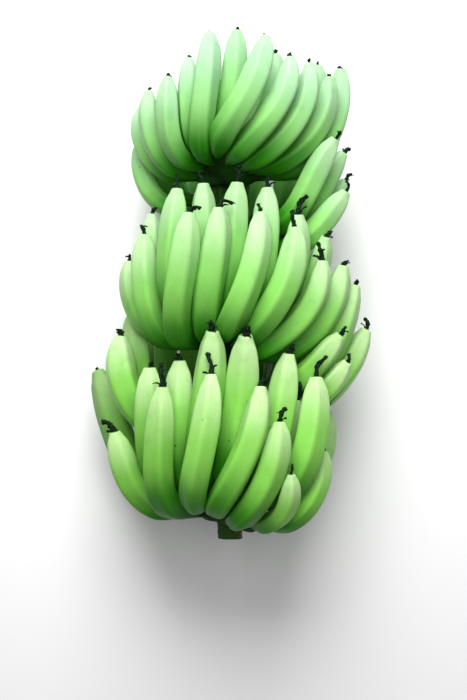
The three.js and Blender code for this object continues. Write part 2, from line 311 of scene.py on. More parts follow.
def stalk_radius(height):
    """The stalk's radius at a height: a straight taper with a slight swelling at each hand."""
    ends = [STALK["low_end"], STALK["high_end"]]
    taper = np.interp(height, ends, [STALK["low_radius"], STALK["high_radius"]])
    nearness = np.max([STALK["knot"] - abs(height - hand["level"]) for hand in HANDS], axis=0)
    return taper + STALK["swell"] * smoothstep(nearness, 0, STALK["knot"])


def round_stalk(height, radius, sides):
    """Rings of points round the stalk's axis, at heights and radii."""
    angle = ring_angles(sides)
    spoke = np.stack([np.cos(angle), np.zeros(sides), -np.sin(angle)], axis=-1)
    return spoke * radius[..., None] + np.stack([0 * height, height, 0 * height], axis=-1)[:, None]


def to_frame(points):
    """Moves points from the bunch's own axes, in millimetres, to the shared frame, in metres."""
    middle = (STALK_LOW + STALK_HIGH) / 2
    offset = np.array([middle.x, STALK_LOW.y - STALK["low_end"] * MM, middle.z])
    return np.asarray(points) * MM + offset


# The fingers' centre lines.


def grow_row(hand, row, lift, serials):
    """Control points, girth and turn of one row of fingers. Each leaves the crown outwards and bends up to
    its tip."""
    root_azimuth, tip_azimuth, rise, reach, flare = (
        np.array(row[key], float) for key in ("root", "tip", "rise", "reach", "flare")
    )
    lift = lift + np.array(row.get("lift", 0.0))
    root = around(root_azimuth, ROOT["radius"], crown_height(hand, root_azimuth) + lift)
    tip = around(tip_azimuth, reach, hand["level"] + rise)
    span = np.linalg.norm(root - tip, axis=1)
    outward = unit(around(root_azimuth, 1.0, CURVE["sag"]))
    heading = unit(around(tip_azimuth, flare, 1.0))
    belly = root + outward * (CURVE["root_pull"] * span)[:, None]
    shoulder = tip - heading * (CURVE["tip_pull"] * span)[:, None]
    girth = FINGER["girth"] * (span / FINGER["span"]) ** FINGER["span_power"]
    girth = girth * np.array(row.get("stout", 1.0)) * (1 + FINGER["variety"] * draw(serials))
    turn = 180 / RIDGES * draw(serials + DRAWS["turn"])
    return np.stack([root, belly, shoulder, tip], axis=1), girth, turn


def near_pairs(beads, radii, finger, hand, place, slack):
    """Pairs of beads of two fingers that may touch. Roots of one hand may merge in its crown, so they are
    left out."""
    first, second = np.triu_indices(len(beads), 1)
    rooted = np.minimum(place[first], place[second]) < SETTLE["root_end"]
    useful = (finger[first] != finger[second]) & ~((hand[first] == hand[second]) & rooted)
    first, second = first[useful], second[useful]
    gap = np.linalg.norm(beads[first] - beads[second], axis=1) - radii[first] - radii[second]
    return first[gap < slack], second[gap < slack]


def settle(control, girth, hand):
    """Pushes fingers apart, off the stalk and off the floor. Each finger is a string of beads, and a push on
    a bead moves the curve's three free control points by its weights, so the finger stays one smooth arc."""
    t = np.linspace(0, 1, SETTLE["beads"])
    weights = weights_at(t)
    count = len(control)
    radii = (girth[:, None] * girth_share(t) + SETTLE["margin"]).ravel()
    finger = np.repeat(np.arange(count), len(t))
    place = np.tile(t, count)
    rate = SETTLE["rate"] * SETTLE_FREE * SETTLE["gain"] / len(t)
    for step in range(SETTLE["rounds"]):
        beads = np.einsum("mk,nkj->nmj", weights, control).reshape(-1, 3)
        if step % NEAR["rounds"] == 0:
            first, second = near_pairs(beads, radii, finger, hand[finger], place, NEAR["slack"])
        apart = beads[first] - beads[second]
        distance = np.linalg.norm(apart, axis=1)
        half = np.maximum(0, radii[first] + radii[second] - distance) / (2 * distance)
        push = np.zeros_like(beads)
        np.add.at(push, first, apart * half[:, None])
        np.add.at(push, second, -apart * half[:, None])
        push[:, 2] += np.maximum(0, radii - FLOOR_DEPTH - beads[:, 2])
        distance = np.hypot(beads[:, 0], beads[:, 2])
        inside = np.maximum(0, STALK["high_radius"] + radii - distance)
        inside[place < SETTLE["root_end"]] = 0
        push[:, [0, 2]] += beads[:, [0, 2]] * (inside / distance)[:, None]
        control[:, 1:] += rate * np.einsum("nmj,mc->ncj", push.reshape(count, -1, 3), weights[:, 1:])
    return control


@lru_cache(maxsize=1)
def grown_bunch():
    """Every finger of the bunch as arrays: its control points, girth, turn, hand and serial number."""
    rows = []
    for h, hand in enumerate(HANDS):
        for r, (row, lift) in enumerate((("outer", ROOT["outer_lift"]), ("inner", ROOT["inner_lift"]))):
            serials = SERIAL["hand"] * h + SERIAL["row"] * r + np.arange(len(hand[row]["root"]))
            rows.append((*grow_row(hand, hand[row], lift, serials), np.full(len(serials), h), serials))
    names = ("control", "girth", "turn", "hand", "serial")
    bunch = {name: np.concatenate(column) for name, column in zip(names, zip(*rows))}
    bunch["control"] = settle(bunch["control"], bunch["girth"], bunch["hand"])
    return bunch


def fingers_of(h):
    """The fingers of one hand, from the whole bunch's arrays."""
    bunch = grown_bunch()
    own = bunch["hand"] == h
    return {key: values[own] for key, values in bunch.items()}


def turned(vectors, axes, angles):
    """Vectors turned about unit axes by angles in radians, by Rodrigues' formula."""
    cos, sin = np.cos(angles)[:, None], np.sin(angles)[:, None]
    along = np.sum(vectors * axes, axis=-1, keepdims=True)
    return vectors * cos + np.cross(axes, vectors) * sin + axes * along * (1 - cos)


def bulge_of(control):
    """The direction in which each curve bulges away from its chord."""
    ends = points_at(control, np.array([0.0, 0.5, 1.0]))
    return unit(ends[:, 1] - (ends[:, 0] + ends[:, 2]) / 2)


# Meshes.


def tube_faces(tubes, rings, sides):
    """Quads between the rings of closed tubes, and the fans that shut their ends. Each tube's points are its
    rings in order, then its first and last centre."""
    size = rings * sides + 2
    ring, side = np.meshgrid(np.arange(rings - 1) * sides, np.arange(sides), indexing="ij")
    after = (side + 1) % sides
    corners = [ring + side, ring + after, ring + sides + after, ring + sides + side]
    quads = np.stack(corners, axis=-1).reshape(-1, 4)
    s = np.arange(sides)
    n = (s + 1) % sides
    top = (rings - 1) * sides
    low = np.stack([np.full(sides, size - 2), n, s], axis=-1)
    high = np.stack([np.full(sides, size - 1), top + s, top + n], axis=-1)
    ends = np.concatenate([low, high])
    offset = (np.arange(tubes) * size)[:, None, None]
    return (quads[None] + offset).reshape(-1, 4), (ends[None] + offset).reshape(-1, 3)


def with_centres(rings):
    """Points of tubes by rings by sides, in one list: each tube's rings, then its first and last centre."""
    tubes = rings.shape[0]
    flat = rings.reshape(tubes, -1, rings.shape[-1])
    ends = rings[:, [0, -1]].mean(axis=2)
    return np.concatenate([flat, ends], axis=1).reshape(-1, rings.shape[-1])


def make_mesh(name, points, quads, triangles):
    """A smooth-shaded mesh from arrays of points in the shared frame, quads and triangles."""
    mesh = bpy.data.meshes.new(name)
    corners = np.concatenate([quads.ravel(), triangles.ravel()]).astype(np.int32)
    starts = np.concatenate([np.arange(len(quads)) * 4, len(quads) * 4 + np.arange(len(triangles)) * 3])
    mesh.vertices.add(len(points))
    mesh.vertices.foreach_set("co", points.astype(np.float32).ravel())
    mesh.loops.add(len(corners))
    mesh.loops.foreach_set("vertex_index", corners)
    mesh.polygons.add(len(starts))
    mesh.polygons.foreach_set("loop_start", starts.astype(np.int32))
    mesh.update(calc_edges=True)
    mesh.shade_smooth()
    return mesh


def add_values(mesh, name, values):
    """A point attribute: one number for each vertex, or one vector."""
    vector = values.ndim == 2
    kind, key = ("FLOAT_VECTOR", "vector") if vector else ("FLOAT", "value")
    mesh.attributes.new(name, kind, "POINT").data.foreach_set(key, values.astype(np.float32).ravel())


def add_piece(name, mesh, material, node):
    """Adds a finished piece that rides on the bunch and stands for its CAD node."""
    piece = bpy.data.objects.new(name, mesh)
    bpy.context.scene.collection.objects.link(piece)
    if not mesh.materials:
        mesh.materials.append(material)
    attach(piece, BODY)
    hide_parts(node)
    return piece


def rested(points):
    """Points kept above the floor, so that what bears on it is flat."""
    points[:, 2] = np.maximum(points[:, 2], 0)
    return points


# The fruit.

# A finger's five faces with the steps between fingers' draws for them, the fading of its ridges, its slow
# waves, how much its rings crowd towards the tip, its rounded end, the slight waist under it, and how far
# apart the fingers' patterns lie. Places are shares of the way along.
FRUIT = {"soft_power": 11.0, "face_turn": 6.0, "face_depth": 0.035, "ridge_width": 0.1}
FACE_STEPS = {"turn": 7, "depth": 5}
RIDGE_FADE = {"root": (0.08, 0.3), "root_share": 0.45, "tip": (0.93, 1.0), "tip_share": 0.55}
WAVE = {"depth": 0.012, "turns": 9, "phase": 3}
CROWDING = 0.5
CAP = {"height": 1.6, "rings": 4, "last_share": 0.03}
WAIST = {"depth": 0.07, "at": 0.978, "width": 0.022}
PATTERN_STEP = 0.9


def section_of(angles, serial):
    """Radius and ridge strength round a finger. The radius is the smooth maximum of the cosines to five
    faces, each turned and moved a little by the finger's draws. A ridge is where the two nearest faces are
    equally near."""
    faces = np.arange(RIDGES)
    centres = 2 * np.pi * (faces + 0.5) / RIDGES
    turns = draw(serial[:, None] * FACE_STEPS["turn"] + faces + DRAWS["face_turn"])
    centres = centres + np.radians(FRUIT["face_turn"]) * turns
    depths = draw(serial[:, None] * FACE_STEPS["depth"] + faces + DRAWS["face_depth"])
    depths = 1 + FRUIT["face_depth"] * depths
    cosines = np.cos(angles[None, :, None] - centres[:, None, :]) / depths[:, None, :]
    power = FRUIT["soft_power"]
    radius = np.sum(np.maximum(cosines, 0) ** power, axis=-1) ** (-1 / power)
    nearest = np.sort(cosines, axis=-1)
    ridge = bell(nearest[..., -1], nearest[..., -2], FRUIT["ridge_width"])
    return radius / radius.mean(axis=1, keepdims=True), ridge


def fruit_surface(fingers, rings, sides):
    """Closed skins of fingers, with the ridges, the length and the angles that their peel is painted by. A
    ring lies square to the centre line, with the five-faced section scaled by the girth and the profile.
    Rings crowd towards the tip, ridges fade towards both ends, and a few rings past the tip round it off."""
    u = np.linspace(0, 1, rings - CAP["rings"])
    cap = np.linspace(0, np.pi / 2, CAP["rings"] + 1)[1:]
    t = np.concatenate([(1 - CROWDING) * u + CROWDING * (1 - (1 - u) ** 2), np.ones(len(cap))])
    shrink = np.concatenate([np.ones(len(u)), np.maximum(np.cos(cap), CAP["last_share"])])
    lift = np.concatenate([np.zeros(len(u)), CAP["height"] * np.sin(cap)])
    control, girth, serial = fingers["control"], fingers["girth"], fingers["serial"]
    along = tangents_at(control, t)
    centre = points_at(control, t) + along * lift[None, :, None]
    middle = tangents_at(control, np.array([0.5]))[:, 0]
    out = turned(bulge_of(control), middle, np.radians(fingers["turn"]))[:, None, :]
    side = square_to(along, out)
    across = np.cross(along, side)
    angles = ring_angles(sides)
    section, ridge = section_of(angles, serial)
    root_share, tip_share = RIDGE_FADE["root_share"], RIDGE_FADE["tip_share"]
    ridged = root_share + (1 - root_share) * smoothstep(t, *RIDGE_FADE["root"])
    ridged = ridged * (1 - (1 - tip_share) * smoothstep(t, *RIDGE_FADE["tip"]))
    phase = WAVE["phase"] * draw(serial + DRAWS["wave"])
    wave = 1 + WAVE["depth"] * np.sin(WAVE["turns"] * t[None, :] + phase[:, None])
    waist = 1 - WAIST["depth"] * bell(t, WAIST["at"], WAIST["width"])
    radius = girth[:, None] * (girth_share(t) * shrink * waist)[None, :] * wave
    radius = radius[:, :, None] * (1 + ridged[None, :, None] * (section[:, None, :] - 1))
    points = centre[:, :, None, :] + spokes(side, across, angles) * radius[..., None]
    steps = np.linalg.norm(np.diff(centre, axis=1), axis=2)
    length = np.concatenate([np.zeros((len(control), 1)), np.cumsum(steps, axis=1)], axis=1)
    return points, ridge, length, angles


def build_fruit(h, rings, sides, material):
    """One hand's fingers as one mesh, with the values that its peel is painted by."""
    fingers = fingers_of(h)
    count = len(fingers["girth"])
    points, ridge, length, angles = fruit_surface(fingers, rings, sides)
    shape = (count, rings, sides)
    share = np.broadcast_to((length / length[:, -1:])[:, :, None], shape)
    girth = fingers["girth"][:, None, None] * MM
    peel = np.stack(
        [
            np.broadcast_to(np.cos(angles) * girth, shape),
            np.broadcast_to(np.sin(angles) * girth, shape),
            np.broadcast_to(length[:, :, None] * MM, shape),
        ],
        axis=-1,
    )
    peel = peel + PATTERN_STEP * fingers["serial"][:, None, None, None]
    tone = np.broadcast_to(draw(fingers["serial"] + DRAWS["tone"])[:, None, None], shape)
    ridge = np.broadcast_to(ridge[:, None, :], shape)
    numbers = np.stack([share, tone, ridge], axis=-1)
    flat = with_centres(np.concatenate([points, peel, numbers], axis=-1))
    placed = rested(to_frame(flat[:, :3]))
    mesh = make_mesh(f"{HANDS[h]['node']}_fruit", placed, *tube_faces(count, rings, sides))
    add_values(mesh, "peel", flat[:, 3:6])
    add_values(mesh, "along", flat[:, 6])
    add_values(mesh, "tone", flat[:, 7])
    add_values(mesh, "ridge", flat[:, 8])
    return add_piece(mesh.name, mesh, material, HANDS[h]["node"])


# The crowns.

# The stretch of stem that a crown takes in, swollen at the crown and slimmer further on, as shares of the
# finger. The sleeve round the stalk, in millimetres, reaches past the crown and stays clear of the cut end.
STEM = {"to": 0.2, "swelling": 1.16, "slimming": 1.4}
SLEEVE = {"past": 38, "clear": 6, "sunk": 3, "swelling": 4.5}
FUSING = {"relax": 0.5, "rounds": 8}


def root_ends(hand):
    """The azimuths of a hand's first and last roots."""
    azimuths = [*hand["outer"]["root"], *hand["inner"]["root"]]
    return min(azimuths), max(azimuths)


def crown_cushion(hand, steps=60, sides=28):
    """The cushion that a hand grows from: an ellipse carried round the stalk, thinner towards both ends."""
    first, last = root_ends(hand)
    azimuth = np.linspace(first - CROWN["overhang"], last + CROWN["overhang"], steps)
    ends = np.linspace(-1, 1, steps)
    share = (1 - ends ** CROWN["end_power"]) ** 0.5 * (1 - CROWN["end_share"]) + CROWN["end_share"]
    angle = ring_angles(sides)
    depth = CROWN["half_depth"] * share[:, None] * np.cos(angle)
    height = CROWN["half_height"] * share[:, None] * np.sin(angle) + crown_height(hand, azimuth)[:, None]
    return around(azimuth[:, None], CROWN["radius"] + depth, height)[None, :, ::-1]


def crown_stubs(fingers, rings=9, sides=14):
    """The first stretch of each finger's stem, thick at the crown and sinking into the finger further on."""
    t = np.linspace(0, STEM["to"], rings)
    control = fingers["control"]
    along = tangents_at(control, t)
    side = unit(np.cross(along, bulge_of(control)[:, None, :]))
    across = np.cross(along, side)
    radius = fingers["girth"][:, None] * girth_share(t) * (STEM["swelling"] - STEM["slimming"] * t)
    spoke = spokes(side, across, ring_angles(sides))
    return points_at(control, t)[:, :, None, :] + spoke * radius[:, :, None, None]


def crown_sleeve(hand, rings=24, sides=40):
    """The swelling of the stalk that a crown grows out of: a sleeve whose ends sink into the stalk."""
    heights = crown_height(hand, root_ends(hand))
    low = max(min(heights) - SLEEVE["past"], STALK["low_end"] + SLEEVE["clear"])
    height = np.linspace(low, max(heights) + SLEEVE["past"], rings)
    swelling = SLEEVE["swelling"] * np.sin(np.linspace(0, np.pi, rings)) ** 0.5
    radius = stalk_radius(height) - SLEEVE["sunk"] + swelling
    return round_stalk(height, radius[:, None], sides)[None]


def fused(name, skins, voxel):
    """One mesh that wraps several closed skins: they are remeshed together on a fine grid and smoothed."""
    points, quads, triangles, used = [], [], [], 0
    for skin in skins:
        listed = with_centres(skin)
        own_quads, own_triangles = tube_faces(*skin.shape[:3])
        points.append(listed)
        quads.append(own_quads + used)
        triangles.append(own_triangles + used)
        used += len(listed)
    placed = to_frame(np.concatenate(points))
    rough = make_mesh(f"{name}_rough", placed, np.concatenate(quads), np.concatenate(triangles))
    holder = bpy.data.objects.new(rough.name, rough)
    bpy.context.scene.collection.objects.link(holder)
    remesh = holder.modifiers.new("Fuse", "REMESH")
    remesh.mode = "VOXEL"
    remesh.voxel_size = voxel * MM
    relax = holder.modifiers.new("Relax", "SMOOTH")
    relax.factor = FUSING["relax"]
    relax.iterations = FUSING["rounds"]
    bpy.context.view_layer.update()
    evaluated = holder.evaluated_get(bpy.context.evaluated_depsgraph_get())
    mesh = bpy.data.meshes.new_from_object(evaluated)
    mesh.name = name
    mesh.shade_smooth()
    bpy.data.objects.remove(holder)
    bpy.data.meshes.remove(rough)
    return mesh


def build_crown(h, voxel, material):
    """One hand's crown, fused with the first stretch of its fingers' stems and with the stalk's swelling."""
    hand = HANDS[h]
    skins = [crown_cushion(hand), crown_stubs(fingers_of(h)), crown_sleeve(hand)]
    mesh = fused(f"{hand['node']}_crown", skins, voxel)
    return add_piece(mesh.name, mesh, material, hand["node"])


# The withered flower ends.

WITHERED = {"length": 17.0, "radius": 3.2, "rings": 16, "sides": 10, "sunk": 1.5, "ribbons": 3}

# How a dry flower grows whose habit is drawn: the middle, the spread and the start of the draws for its
# length as a share of the usual one, the way it leans in degrees, how far it leans and droops, and its
# thickness.
DRAWN_HABITS = ((1, 0.35, 5100), (0, 180, 5000), (0.3, 0.25, 5200), (0.25, 0.2, 5250), (1, 0.25, 5300))

# The style's wriggle, the knob at its end, a lump on the way, its width from end to end as a polynomial, and
# its flat, twisted section.
WRIGGLE = {"depth": 0.07, "turns": 7, "aside": 0.6, "draws": 5400}
KNOB = {"height": 0.3, "at": 0.92, "width": 0.07}
LUMP = {"height": 0.22, "at": 0.45, "spread": 0.2, "width": 0.1, "draws": 5450}
STYLE = {"width": (1.2, -0.95, 0.42), "flatness": 0.72, "phase_draws": 5600}
STYLE_SPIN = {"middle": 2.5, "spread": 2, "draws": 5500}

# The strips of dry petal. Each row has the first strip's middle, the step to the next strip, the spread and
# the start of the draws: for the strip's start and stretch along the style, the way it leaves it, its curl,
# its spin and its phase.
RIBBON_DRAWS = (
    (0.02, 0.24, 0.06, 0),
    (0.42, 0, 0.2, 100),
    (0, 2.2, 1.2, 300),
    (0.24, 0, 0.16, 600),
    (0, 0, 3, 1200),
    (0, 0, 3, 1500),
)
RIBBON_SEEDS = {"first": 6000, "step": 100}
RIBBON = {"offset": 0.55, "back": 0.35, "width": (0.3, 0.75, -0.75), "flatness": 0.4}
RIBBON_SIZE = {"first": 0.95, "step": -0.1}

# Sines that crumple a tube: depth, lobes round it, turns along it, and how often the phase counts. The phases
# are drawn. A tube's first side lies square to the guide.
CRUMPLES = ((0.2, 3, 11, 1), (0.14, 2, -19, 2))
PHASE_SPREAD = 3
TUBE_GUIDE = np.array([0.31, 0.17, 0.93])

# The dry flowers that the photograph shows well, by the finger's serial number: length in millimetres, the
# way they lean in degrees (0 to the right, 90 up off the floor), how far they lean and droop as shares of the
# length, and their thickness.
SEEN_FLOWERS = {
    81: (19, 190, 0.3, 0.2, 0.95),
    82: (22, 20, 0.75, 0.62, 1.0),
    83: (27, 10, 0.62, 0.7, 1.0),
    84: (17, 150, 0.1, 0.15, 0.95),
    85: (29, 150, 0.12, 0.1, 1.05),
    86: (30, 170, 0.34, 0.15, 1.2),
    102: (25, 190, 0.12, 0.1, 0.8),
    103: (22, 180, 0.3, 0.2, 0.95),
    104: (27, 60, 0.1, 0.1, 0.95),
    105: (21, 20, 0.15, 0.1, 0.85),
    106: (31, 0, 0.36, 0.1, 1.25),
    148: (15, 160, 0.2, 0.2, 1.3),
    160: (7, 150, 0.1, 0.1, 0.8),
    161: (27, 175, 0.55, 0.3, 1.45),
    162: (36, 160, 0.14, 0.05, 1.15),
    163: (32, 170, 0.1, 0.05, 1.1),
    164: (19, 15, 0.45, 0.45, 1.1),
    165: (23, 10, 0.4, 0.15, 1.1),
    166: (19, 40, 0.2, 0.1, 0.65),
    181: (15, 170, 0.2, 0.2, 1.0),
    182: (20, 120, 0.25, 0.3, 1.2),
    183: (18, 30, 0.3, 0.3, 1.6),
    184: (18, 20, 0.35, 0.3, 1.35),
    185: (33, 15, 0.42, 0.1, 1.05),
    186: (29, 20, 0.2, 0.15, 1.75),
}


def withered_tube(path, radius, flatness, spin, phase):
    """Closed tubes along paths. A ring is an ellipse that spins along the tube and is crumpled by sines."""
    along = unit(np.gradient(path, axis=1))
    guide = unit(np.cross(path[:, -1] - path[:, 0], TUBE_GUIDE))[:, None, :]
    side = square_to(along, guide)
    across = np.cross(along, side)
    u = np.linspace(0, 1, path.shape[1])
    angle = ring_angles(WITHERED["sides"])
    crumple = 1 + sum(
        depth * np.sin(lobes * angle + turns * u[:, None] + times * phase[:, None, None])
        for depth, lobes, turns, times in CRUMPLES
    )
    wide = radius[:, :, None] * crumple
    x = wide * np.cos(angle)
    y = wide * np.sin(angle) * flatness
    turn = (spin[:, None] * u)[:, :, None]
    cos, sin = np.cos(turn), np.sin(turn)
    across_part = (x * sin + y * cos)[..., None] * across[:, :, None, :]
    return path[:, :, None, :] + (x * cos - y * sin)[..., None] * side[:, :, None, :] + across_part


def flower_habits(fingers, share):
    """How each dry flower grows: length, way that it leans, lean, droop and thickness. The ones that the
    photograph shows are listed. The others are drawn, and broken off to a share of their length."""
    serial = fingers["serial"]
    drawn = [middle + spread * draw(serial + start) for middle, spread, start in DRAWN_HABITS]
    drawn[0] = drawn[0] * WITHERED["length"] * share
    habits = [SEEN_FLOWERS.get(int(number), habit) for number, habit in zip(serial, zip(*drawn))]
    return np.array(habits).T


def ribbon_tubes(j, serial, length, radius, style, axes):
    """One curled strip of dry petal on each style: it leaves the style on the way and bends away from it."""
    lean, lateral, ahead = axes
    seeds = serial + RIBBON_SEEDS["first"] + RIBBON_SEEDS["step"] * j
    start, stretch, angle, curl, spin, phase = (
        first + step * j + spread * draw(seeds + draws) for first, step, spread, draws in RIBBON_DRAWS
    )
    away = lean * np.cos(angle)[:, None] + lateral * np.sin(angle)[:, None]
    u = np.linspace(0, 1, WITHERED["rings"])
    place = np.clip(start[:, None] + stretch[:, None] * u, 0, 1) * (len(u) - 1)
    whole = np.minimum(place.astype(int), len(u) - 2)
    part = (place - whole)[..., None]
    row = np.arange(len(seeds))[:, None]
    path = style[row, whole] * (1 - part) + style[row, whole + 1] * part
    curl = curl * length
    offset = RIBBON["offset"] * radius[:, None] + curl[:, None] * u**2
    path = path + away[:, None] * offset[..., None]
    path = path - ahead[:, None] * (RIBBON["back"] * curl[:, None] * u**4)[..., None]
    size = RIBBON_SIZE["first"] + RIBBON_SIZE["step"] * j
    thin = radius[:, None] * polynomial(RIBBON["width"], u) * size
    return withered_tube(path, thin, RIBBON["flatness"], spin, phase)


def flower_tubes(fingers, share):
    """Each tip's withered flower: a crumpled style that leans, droops and ends in a knob, and curled strips
    of dry petal that leave it on the way."""
    control, serial = fingers["control"], fingers["serial"]
    length, lean_angle, lean_share, droop, thick = flower_habits(fingers, share)
    ahead = tangents_at(control, np.array([1.0]))[:, 0]
    angle = np.radians(lean_angle)
    wanted = np.stack([np.cos(angle), 0 * angle, np.sin(angle)], axis=-1)
    lean = square_to(ahead, wanted)
    lateral = np.cross(ahead, lean)
    radius = WITHERED["radius"] * thick * (fingers["girth"] / FINGER["girth"]) ** 0.5
    u = np.linspace(0, 1, WITHERED["rings"])
    phase = PHASE_SPREAD * draw(serial + WRIGGLE["draws"])[:, None]
    wriggle = WRIGGLE["depth"] * length[:, None] * np.sin(WRIGGLE["turns"] * u + phase) * u
    forward = length[:, None] * (u - droop[:, None] * u**3) - WITHERED["sunk"]
    style = control[:, -1][:, None] + ahead[:, None] * forward[..., None]
    style = style + lean[:, None] * ((lean_share * length)[:, None] * u**2 + wriggle)[..., None]
    style = style + lateral[:, None] * (WRIGGLE["aside"] * wriggle[:, ::-1] * u)[..., None]
    knob = KNOB["height"] * bell(u, KNOB["at"], KNOB["width"])
    lump_at = LUMP["at"] + LUMP["spread"] * draw(serial + LUMP["draws"])[:, None]
    lump = LUMP["height"] * bell(u, lump_at, LUMP["width"])
    width = radius[:, None] * (polynomial(STYLE["width"], u) + knob + lump)
    spin = STYLE_SPIN["middle"] + STYLE_SPIN["spread"] * draw(serial + STYLE_SPIN["draws"])
    phase = PHASE_SPREAD * draw(serial + STYLE["phase_draws"])
    tubes = [withered_tube(style, width, STYLE["flatness"], spin, phase)]
    for j in range(WITHERED["ribbons"]):
        tubes.append(ribbon_tubes(j, serial, length, radius, style, (lean, lateral, ahead)))
    return np.concatenate(tubes)


def build_flower_ends(h, material):
    """All the withered flower ends of one hand."""
    tubes = flower_tubes(fingers_of(h), HANDS[h].get("stub", 1.0))
    points = rested(to_frame(with_centres(tubes)))
    mesh = make_mesh(f"{HANDS[h]['node']}_flower_ends", points, *tube_faces(*tubes.shape[:3]))
    return add_piece(mesh.name, mesh, material, HANDS[h]["node"])


# The stalk.

# Lengthwise fibres as sines round the stalk: depth, count and phase. Slow bends: depth, count, and radians
# for each millimetre. The scar ring below each hand, in millimetres. The rings of a cut face, as shares of
# its radius.
FIBRES = ((0.35, 9, 1.3), (0.25, 17, 0.4), (0.18, 31, 0))
BENDS = ((0.5, 3, 0.012), (0.4, 2, -0.019))
SCAR = {"below": 46, "wander": 5, "width": 1.6, "height": 1.1}
CUT_RINGS = np.array([0.97, 0.93, 0.8, 0.6, 0.4, 0.2, 0.05])
AROUND = np.array([1, 0, 1])
ALONG = np.array([0, 1, 0])


def stalk_surface(rings=260, sides=84):
    """The stalk's bark and both cut faces, and for each point whether it is on a face and how far out it lies
    there. The radius is the taper with its swellings, plus fibres, bends and scars. The rings past each end
    close over the cut face."""
    height = np.linspace(STALK["low_end"], STALK["high_end"], rings)
    angle = ring_angles(sides)
    fibres = sum(depth * np.sin(count * angle + phase) for depth, count, phase in FIBRES)
    bends = sum(depth * np.sin(count * angle + turn * height[:, None]) for depth, count, turn in BENDS)
    scars = 0
    for hand in HANDS:
        scar_height = hand["level"] - SCAR["below"] - SCAR["wander"] * np.sin(angle + hand["level"])
        scars = scars + bell(height[:, None], scar_height, SCAR["width"])
    radius = stalk_radius(height)[:, None] + fibres + bends + SCAR["height"] * scars
    bark = round_stalk(height, radius, sides)
    low_face = bark[0] * AROUND * CUT_RINGS[::-1, None, None] + STALK["low_end"] * ALONG
    high_face = bark[-1] * AROUND * CUT_RINGS[:, None, None] + STALK["high_end"] * ALONG
    points = np.concatenate([low_face, bark, high_face])
    on_face = np.ones(len(CUT_RINGS))
    cut = np.concatenate([on_face, np.zeros(rings), on_face])
    middle = np.concatenate([CUT_RINGS[::-1], np.ones(rings), CUT_RINGS])
    numbers = np.stack([cut, middle], axis=-1)[:, None]
    return points, np.broadcast_to(numbers, (*points.shape[:2], 2))


def build_stalk(material):
    """The stalk as one closed mesh."""
    values = np.concatenate(stalk_surface(), axis=-1)[None]
    flat = with_centres(values)
    mesh = make_mesh("stalk_bark", to_frame(flat[:, :3]), *tube_faces(*values.shape[:3]))
    add_values(mesh, "cut", flat[:, 3])
    add_values(mesh, "middle", flat[:, 4])
    return add_piece(mesh.name, mesh, material, "stalk")


# Finishes.

# Patterns: scale, detail and roughness, and how some are stretched along the finger or the stalk.
GRAINS = {
    "drift": (14, 2, 0.5),
    "streak": (1, 4, 0.6),
    "cloud": (60, 3, 0.5),
    "gloss": (120, 3, 0.5),
    "pores": (420, 2, 0.5),
    "crown": (40, 4, 0.5),
    "rubbed": (1, 5, 0.65),
    "withered": (380, 4, 0.6),
    "crinkle": (900, 3, 0.5),
    "fibre": (1, 5, 0.6),
    "blotch": (34, 5, 0.6),
}
STRETCHES = {"streak": (260, 260, 9), "rubbed": (160, 50, 160), "fibre": (220, 14, 220)}

# Where a tint starts to show, where it shows most, and how strong it is there.
TINTS = {
    "bloom": (0.27, 0.85, 0.75),
    "streak": (0.42, 0.75, 0.34),
    "cloud": (0.5, 0.8, 0.16),
    "dry end": (0.996, 0.9985, 1),
    "crown": (0.3, 0.75, 1),
    "rubbed": (0.6, 0.78, 0.25),
    "blotch": (0.56, 0.7, 0.7),
    "rim": (0.7, 1, 1),
}

# What a pattern's values from 0 to 1 are spread over: shares of the length, roughness, and sizes of specks.
RANGES = {"drift": (-0.11, 0.11), "dry end": (-0.002, 0.002), "gloss": (0.3, 0.52), "speck": (0.03, 0.12)}

# Colours along a finger and through the dry flower and the stalk, by the names of the settings.
# The dark green towards a finger's stem is partly the peel's own colour and partly painted shade.
PEEL_STOPS = {"stem": 0, "root": 0.3, "belly": 0.64, "tip": 0.96}
WITHERED_STOPS = {"withered": 0.35, "withered_green": 0.62, "scar": 0.8}
# The bark's dark green is partly the stalk's own colour and partly painted shade.
BARK_STOPS = {"stem": 0.3, "stalk": 0.55, "root": 0.8}
PITH_STOPS = {"scar": 0.15, "pith": 0.4}

# The bloom grows with the height on the bunch, and is partly painted light that makes the upper hands paler.
# Fingers differ in tone, and the peel is darkened low on the back as painted shade.
# The bloom's rise with height is partly painted light that makes the upper hands paler.
BLOOM_AND_PAINTED_LIGHT_RISE = {"slope": 2.4, "start": 0.25}
# Painted highlight: the ridges' crests are paler.
PAINTED_RIDGE_HIGHLIGHT = 0.06
TONE_SHADES = [(0, (0.86, 0.9, 0.8)), (1, (1, 1, 1))]
PAINTED_SHADE_LOW_ON_BACK = [(0.08, (0.44, 0.56, 0.38)), (0.14, (1, 1, 1))]
SPECKS = {"scale": 75, "chosen": 0.84, "strength": 0.8}
VESSEL_SCALE = 420
PORE_DEPTH = 0.4
SUBSURFACE = {"Subsurface Weight": 0.12, "Subsurface Radius": (0.004, 0.008, 0.002), "Subsurface Scale": 1}

# Finishes: roughness and specular level.
FINISHES = {
    "green peel": (0.42, 0.13),
    "crown green": (0.7, 0.12),
    "withered flower": (0.8, 0.1),
    "stalk": (0.65, 0.2),
    "pale floor": (0.9, 0.1),
}
FLOOR_COLOUR = (0.92, 0.92, 0.92, 1)

# Bumps: strength, and depth in metres.
BUMPS = {"peel": (0.22, 0.0012), "crown": (0.5, 0.002), "withered": (0.6, 0.0012), "stalk": (0.5, 0.002)}


def node(tree, kind, inputs=None, **settings):
    """A shader node with its settings, and its inputs set to values or joined to other nodes' outputs."""
    made = tree.nodes.new(kind)
    for key, value in settings.items():
        setattr(made, key, value)
    for key, value in (inputs or {}).items():
        if isinstance(value, bpy.types.NodeSocket):
            tree.links.new(value, made.inputs[key])
        else:
            made.inputs[key].default_value = value
    return made


